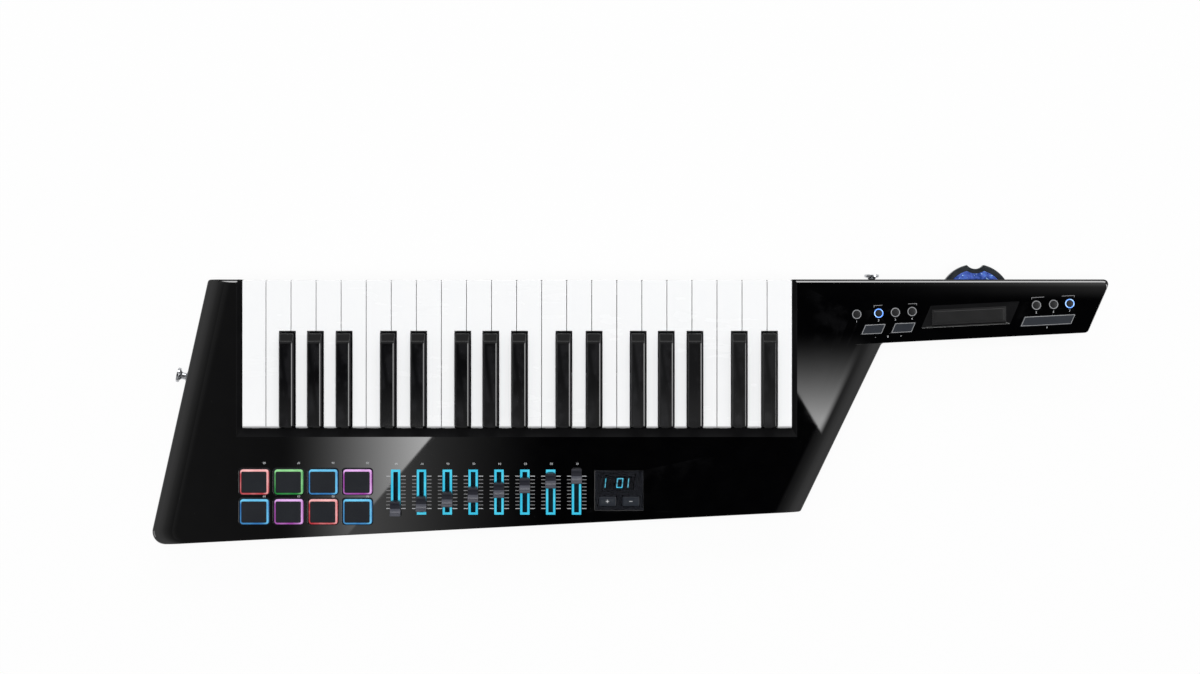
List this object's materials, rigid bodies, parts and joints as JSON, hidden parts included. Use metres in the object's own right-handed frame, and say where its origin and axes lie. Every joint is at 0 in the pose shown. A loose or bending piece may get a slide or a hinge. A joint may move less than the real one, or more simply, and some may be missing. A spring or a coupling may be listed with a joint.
{
  "type": "keytar",
  "caption": "Strap-on keyboard controller with a raked body, full-size keys, pads, faders and a neck with a ribbon strip and pitch wheel.",
  "frame": {"origin": "on the flat back, under the middle of the key field", "axes": "+X from the tail to the end of the neck, +Y from the control panel to the fronts of the keys, +Z out of the keys; the instrument lies on its back"},
  "size_m": [0.8987, 0.263, 0.0615],
  "materials": {
    "front_shell": "gloss black moulding",
    "back_shell": "fine textured black moulding",
    "key_bed": "dark grey moulding",
    "natural_keys": "smooth cool white",
    "sharp_keys": "satin black",
    "pad_mat": "charcoal silicone with lit rims",
    "value_button_mat": "charcoal silicone",
    "neck_button_mat": "charcoal silicone with grey or lit rings",
    "bar_buttons": "satin dark grey with a light rim",
    "fader_caps": "satin dark grey",
    "display_window": "dark clear lens over lit figures",
    "ribbon_strip": "satin dark grey film",
    "pitch_wheel": "charcoal rim round a lit blue inlay",
    "strap_buttons": "polished"
  },
  "bodies": {
    "case": {"front_shell": "front_shell", "back_shell": "back_shell", "battery_door": "back_shell", "display_window": "display_window", "pad_mat": "pad_mat", "value_button_mat": "value_button_mat", "neck_button_mat": "neck_button_mat", "ribbon_strip": "ribbon_strip", "key_bed": "key_bed", "strap_button_tail": "strap_buttons", "strap_button_neck": "strap_buttons"},
    "pitch_wheel": {"pitch_wheel": "pitch_wheel"},
    "octave_up_button": {"octave_up_button": "bar_buttons"},
    "octave_down_button": {"octave_down_button": "bar_buttons"},
    "sustain_button": {"sustain_button": "bar_buttons"},
    "fader_cap_1": {"fader_cap_1": "fader_caps"},
    "fader_cap_2": {"fader_cap_2": "fader_caps"},
    "fader_cap_3": {"fader_cap_3": "fader_caps"},
    "fader_cap_4": {"fader_cap_4": "fader_caps"},
    "fader_cap_5": {"fader_cap_5": "fader_caps"},
    "fader_cap_6": {"fader_cap_6": "fader_caps"},
    "fader_cap_7": {"fader_cap_7": "fader_caps"},
    "fader_cap_8": {"fader_cap_8": "fader_caps"},
    "natural_c2": {"natural_c2": "natural_keys"},
    "natural_d2": {"natural_d2": "natural_keys"},
    "natural_e2": {"natural_e2": "natural_keys"},
    "natural_f2": {"natural_f2": "natural_keys"},
    "natural_g2": {"natural_g2": "natural_keys"},
    "natural_a2": {"natural_a2": "natural_keys"},
    "natural_b2": {"natural_b2": "natural_keys"},
    "natural_c3": {"natural_c3": "natural_keys"},
    "natural_d3": {"natural_d3": "natural_keys"},
    "natural_e3": {"natural_e3": "natural_keys"},
    "natural_f3": {"natural_f3": "natural_keys"},
    "natural_g3": {"natural_g3": "natural_keys"},
    "natural_a3": {"natural_a3": "natural_keys"},
    "natural_b3": {"natural_b3": "natural_keys"},
    "natural_c4": {"natural_c4": "natural_keys"},
    "natural_d4": {"natural_d4": "natural_keys"},
    "natural_e4": {"natural_e4": "natural_keys"},
    "natural_f4": {"natural_f4": "natural_keys"},
    "natural_g4": {"natural_g4": "natural_keys"},
    "natural_a4": {"natural_a4": "natural_keys"},
    "natural_b4": {"natural_b4": "natural_keys"},
    "natural_c5": {"natural_c5": "natural_keys"},
    "sharp_c2": {"sharp_c2": "sharp_keys"},
    "sharp_d2": {"sharp_d2": "sharp_keys"},
    "sharp_f2": {"sharp_f2": "sharp_keys"},
    "sharp_g2": {"sharp_g2": "sharp_keys"},
    "sharp_a2": {"sharp_a2": "sharp_keys"},
    "sharp_c3": {"sharp_c3": "sharp_keys"},
    "sharp_d3": {"sharp_d3": "sharp_keys"},
    "sharp_f3": {"sharp_f3": "sharp_keys"},
    "sharp_g3": {"sharp_g3": "sharp_keys"},
    "sharp_a3": {"sharp_a3": "sharp_keys"},
    "sharp_c4": {"sharp_c4": "sharp_keys"},
    "sharp_d4": {"sharp_d4": "sharp_keys"},
    "sharp_f4": {"sharp_f4": "sharp_keys"},
    "sharp_g4": {"sharp_g4": "sharp_keys"},
    "sharp_a4": {"sharp_a4": "sharp_keys"}
  },
  "joints": [
    {"name": "pitch_wheel_turn", "type": "hinge", "parent": "case", "child": "pitch_wheel", "pos_m": [0.43259, 0.0507, 0.024], "axis": [0, 0, 1], "range_deg": [-30, 30], "stiffness_Nm_per_rad": 0.05},
    {"name": "fader_cap_1_slide", "type": "slide", "parent": "case", "child": "fader_cap_1", "axis": [0, 1, 0], "range_m": [0, 0.0306]},
    {"name": "fader_cap_2_slide", "type": "slide", "parent": "case", "child": "fader_cap_2", "axis": [0, 1, 0], "range_m": [-0.00437, 0.02623]},
    {"name": "fader_cap_3_slide", "type": "slide", "parent": "case", "child": "fader_cap_3", "axis": [0, 1, 0], "range_m": [-0.00874, 0.02186]},
    {"name": "fader_cap_4_slide", "type": "slide", "parent": "case", "child": "fader_cap_4", "axis": [0, 1, 0], "range_m": [-0.01311, 0.01749]},
    {"name": "fader_cap_5_slide", "type": "slide", "parent": "case", "child": "fader_cap_5", "axis": [0, 1, 0], "range_m": [-0.01749, 0.01311]},
    {"name": "fader_cap_6_slide", "type": "slide", "parent": "case", "child": "fader_cap_6", "axis": [0, 1, 0], "range_m": [-0.02186, 0.00874]},
    {"name": "fader_cap_7_slide", "type": "slide", "parent": "case", "child": "fader_cap_7", "axis": [0, 1, 0], "range_m": [-0.02623, 0.00437]},
    {"name": "fader_cap_8_slide", "type": "slide", "parent": "case", "child": "fader_cap_8", "axis": [0, 1, 0], "range_m": [-0.0306, 0]},
    {"name": "octave_up_button_press", "type": "slide", "parent": "case", "child": "octave_up_button", "axis": [0, 0, -1], "range_m": [0, 0.001], "stiffness_N_per_m": 150, "springref_m": -0.003},
    {"name": "octave_down_button_press", "type": "slide", "parent": "case", "child": "octave_down_button", "axis": [0, 0, -1], "range_m": [0, 0.001], "stiffness_N_per_m": 150, "springref_m": -0.003},
    {"name": "sustain_button_press", "type": "slide", "parent": "case", "child": "sustain_button", "axis": [0, 0, -1], "range_m": [0, 0.001], "stiffness_N_per_m": 150, "springref_m": -0.003},
    {"name": "natural_c2_press", "type": "hinge", "parent": "case", "child": "natural_c2", "pos_m": [0.24675, -0.084, 0.031], "axis": [-1, 0, 0], "range_deg": [0, 3.73], "stiffness_Nm_per_rad": 0.8, "springref_deg": -5.73},
    {"name": "natural_d2_press", "type": "hinge", "parent": "case", "child": "natural_d2", "pos_m": [0.22325, -0.084, 0.031], "axis": [-1, 0, 0], "range_deg": [0, 3.73], "stiffness_Nm_per_rad": 0.8, "springref_deg": -5.73},
    {"name": "natural_e2_press", "type": "hinge", "parent": "case", "child": "natural_e2", "pos_m": [0.19975, -0.084, 0.031], "axis": [-1, 0, 0], "range_deg": [0, 3.73], "stiffness_Nm_per_rad": 0.8, "springref_deg": -5.73},
    {"name": "natural_f2_press", "type": "hinge", "parent": "case", "child": "natural_f2", "pos_m": [0.17625, -0.084, 0.031], "axis": [-1, 0, 0], "range_deg": [0, 3.73], "stiffness_Nm_per_rad": 0.8, "springref_deg": -5.73},
    {"name": "natural_g2_press", "type": "hinge", "parent": "case", "child": "natural_g2", "pos_m": [0.15275, -0.084, 0.031], "axis": [-1, 0, 0], "range_deg": [0, 3.73], "stiffness_Nm_per_rad": 0.8, "springref_deg": -5.73},
    {"name": "natural_a2_press", "type": "hinge", "parent": "case", "child": "natural_a2", "pos_m": [0.12925, -0.084, 0.031], "axis": [-1, 0, 0], "range_deg": [0, 3.73], "stiffness_Nm_per_rad": 0.8, "springref_deg": -5.73},
    {"name": "natural_b2_press", "type": "hinge", "parent": "case", "child": "natural_b2", "pos_m": [0.10575, -0.084, 0.031], "axis": [-1, 0, 0], "range_deg": [0, 3.73], "stiffness_Nm_per_rad": 0.8, "springref_deg": -5.73},
    {"name": "natural_c3_press", "type": "hinge", "parent": "case", "child": "natural_c3", "pos_m": [0.08225, -0.084, 0.031], "axis": [-1, 0, 0], "range_deg": [0, 3.73], "stiffness_Nm_per_rad": 0.8, "springref_deg": -5.73},
    {"name": "natural_d3_press", "type": "hinge", "parent": "case", "child": "natural_d3", "pos_m": [0.05875, -0.084, 0.031], "axis": [-1, 0, 0], "range_deg": [0, 3.73], "stiffness_Nm_per_rad": 0.8, "springref_deg": -5.73},
    {"name": "natural_e3_press", "type": "hinge", "parent": "case", "child": "natural_e3", "pos_m": [0.03525, -0.084, 0.031], "axis": [-1, 0, 0], "range_deg": [0, 3.73], "stiffness_Nm_per_rad": 0.8, "springref_deg": -5.73},
    {"name": "natural_f3_press", "type": "hinge", "parent": "case", "child": "natural_f3", "pos_m": [0.01175, -0.084, 0.031], "axis": [-1, 0, 0], "range_deg": [0, 3.73], "stiffness_Nm_per_rad": 0.8, "springref_deg": -5.73},
    {"name": "natural_g3_press", "type": "hinge", "parent": "case", "child": "natural_g3", "pos_m": [-0.01175, -0.084, 0.031], "axis": [-1, 0, 0], "range_deg": [0, 3.73], "stiffness_Nm_per_rad": 0.8, "springref_deg": -5.73},
    {"name": "natural_a3_press", "type": "hinge", "parent": "case", "child": "natural_a3", "pos_m": [-0.03525, -0.084, 0.031], "axis": [-1, 0, 0], "range_deg": [0, 3.73], "stiffness_Nm_per_rad": 0.8, "springref_deg": -5.73},
    {"name": "natural_b3_press", "type": "hinge", "parent": "case", "child": "natural_b3", "pos_m": [-0.05875, -0.084, 0.031], "axis": [-1, 0, 0], "range_deg": [0, 3.73], "stiffness_Nm_per_rad": 0.8, "springref_deg": -5.73},
    {"name": "natural_c4_press", "type": "hinge", "parent": "case", "child": "natural_c4", "pos_m": [-0.08225, -0.084, 0.031], "axis": [-1, 0, 0], "range_deg": [0, 3.73], "stiffness_Nm_per_rad": 0.8, "springref_deg": -5.73},
    {"name": "natural_d4_press", "type": "hinge", "parent": "case", "child": "natural_d4", "pos_m": [-0.10575, -0.084, 0.031], "axis": [-1, 0, 0], "range_deg": [0, 3.73], "stiffness_Nm_per_rad": 0.8, "springref_deg": -5.73},
    {"name": "natural_e4_press", "type": "hinge", "parent": "case", "child": "natural_e4", "pos_m": [-0.12925, -0.084, 0.031], "axis": [-1, 0, 0], "range_deg": [0, 3.73], "stiffness_Nm_per_rad": 0.8, "springref_deg": -5.73},
    {"name": "natural_f4_press", "type": "hinge", "parent": "case", "child": "natural_f4", "pos_m": [-0.15275, -0.084, 0.031], "axis": [-1, 0, 0], "range_deg": [0, 3.73], "stiffness_Nm_per_rad": 0.8, "springref_deg": -5.73},
    {"name": "natural_g4_press", "type": "hinge", "parent": "case", "child": "natural_g4", "pos_m": [-0.17625, -0.084, 0.031], "axis": [-1, 0, 0], "range_deg": [0, 3.73], "stiffness_Nm_per_rad": 0.8, "springref_deg": -5.73},
    {"name": "natural_a4_press", "type": "hinge", "parent": "case", "child": "natural_a4", "pos_m": [-0.19975, -0.084, 0.031], "axis": [-1, 0, 0], "range_deg": [0, 3.73], "stiffness_Nm_per_rad": 0.8, "springref_deg": -5.73},
    {"name": "natural_b4_press", "type": "hinge", "parent": "case", "child": "natural_b4", "pos_m": [-0.22325, -0.084, 0.031], "axis": [-1, 0, 0], "range_deg": [0, 3.73], "stiffness_Nm_per_rad": 0.8, "springref_deg": -5.73},
    {"name": "natural_c5_press", "type": "hinge", "parent": "case", "child": "natural_c5", "pos_m": [-0.24675, -0.084, 0.031], "axis": [-1, 0, 0], "range_deg": [0, 3.73], "stiffness_Nm_per_rad": 0.8, "springref_deg": -5.73},
    {"name": "sharp_c2_press", "type": "hinge", "parent": "case", "child": "sharp_c2", "pos_m": [0.237, -0.084, 0.031], "axis": [-1, 0, 0], "range_deg": [0, 4.34], "stiffness_Nm_per_rad": 0.8, "springref_deg": -5.73},
    {"name": "sharp_d2_press", "type": "hinge", "parent": "case", "child": "sharp_d2", "pos_m": [0.20868, -0.084, 0.031], "axis": [-1, 0, 0], "range_deg": [0, 4.34], "stiffness_Nm_per_rad": 0.8, "springref_deg": -5.73},
    {"name": "sharp_f2_press", "type": "hinge", "parent": "case", "child": "sharp_f2", "pos_m": [0.16709, -0.084, 0.031], "axis": [-1, 0, 0], "range_deg": [0, 4.34], "stiffness_Nm_per_rad": 0.8, "springref_deg": -5.73},
    {"name": "sharp_g2_press", "type": "hinge", "parent": "case", "child": "sharp_g2", "pos_m": [0.14018, -0.084, 0.031], "axis": [-1, 0, 0], "range_deg": [0, 4.34], "stiffness_Nm_per_rad": 0.8, "springref_deg": -5.73},
    {"name": "sharp_a2_press", "type": "hinge", "parent": "case", "child": "sharp_a2", "pos_m": [0.11386, -0.084, 0.031], "axis": [-1, 0, 0], "range_deg": [0, 4.34], "stiffness_Nm_per_rad": 0.8, "springref_deg": -5.73},
    {"name": "sharp_c3_press", "type": "hinge", "parent": "case", "child": "sharp_c3", "pos_m": [0.0725, -0.084, 0.031], "axis": [-1, 0, 0], "range_deg": [0, 4.34], "stiffness_Nm_per_rad": 0.8, "springref_deg": -5.73},
    {"name": "sharp_d3_press", "type": "hinge", "parent": "case", "child": "sharp_d3", "pos_m": [0.04418, -0.084, 0.031], "axis": [-1, 0, 0], "range_deg": [0, 4.34], "stiffness_Nm_per_rad": 0.8, "springref_deg": -5.73},
    {"name": "sharp_f3_press", "type": "hinge", "parent": "case", "child": "sharp_f3", "pos_m": [0.00259, -0.084, 0.031], "axis": [-1, 0, 0], "range_deg": [0, 4.34], "stiffness_Nm_per_rad": 0.8, "springref_deg": -5.73},
    {"name": "sharp_g3_press", "type": "hinge", "parent": "case", "child": "sharp_g3", "pos_m": [-0.02432, -0.084, 0.031], "axis": [-1, 0, 0], "range_deg": [0, 4.34], "stiffness_Nm_per_rad": 0.8, "springref_deg": -5.73},
    {"name": "sharp_a3_press", "type": "hinge", "parent": "case", "child": "sharp_a3", "pos_m": [-0.05064, -0.084, 0.031], "axis": [-1, 0, 0], "range_deg": [0, 4.34], "stiffness_Nm_per_rad": 0.8, "springref_deg": -5.73},
    {"name": "sharp_c4_press", "type": "hinge", "parent": "case", "child": "sharp_c4", "pos_m": [-0.092, -0.084, 0.031], "axis": [-1, 0, 0], "range_deg": [0, 4.34], "stiffness_Nm_per_rad": 0.8, "springref_deg": -5.73},
    {"name": "sharp_d4_press", "type": "hinge", "parent": "case", "child": "sharp_d4", "pos_m": [-0.12032, -0.084, 0.031], "axis": [-1, 0, 0], "range_deg": [0, 4.34], "stiffness_Nm_per_rad": 0.8, "springref_deg": -5.73},
    {"name": "sharp_f4_press", "type": "hinge", "parent": "case", "child": "sharp_f4", "pos_m": [-0.16191, -0.084, 0.031], "axis": [-1, 0, 0], "range_deg": [0, 4.34], "stiffness_Nm_per_rad": 0.8, "springref_deg": -5.73},
    {"name": "sharp_g4_press", "type": "hinge", "parent": "case", "child": "sharp_g4", "pos_m": [-0.18882, -0.084, 0.031], "axis": [-1, 0, 0], "range_deg": [0, 4.34], "stiffness_Nm_per_rad": 0.8, "springref_deg": -5.73},
    {"name": "sharp_a4_press", "type": "hinge", "parent": "case", "child": "sharp_a4", "pos_m": [-0.21514, -0.084, 0.031], "axis": [-1, 0, 0], "range_deg": [0, 4.34], "stiffness_Nm_per_rad": 0.8, "springref_deg": -5.73}
  ]
}
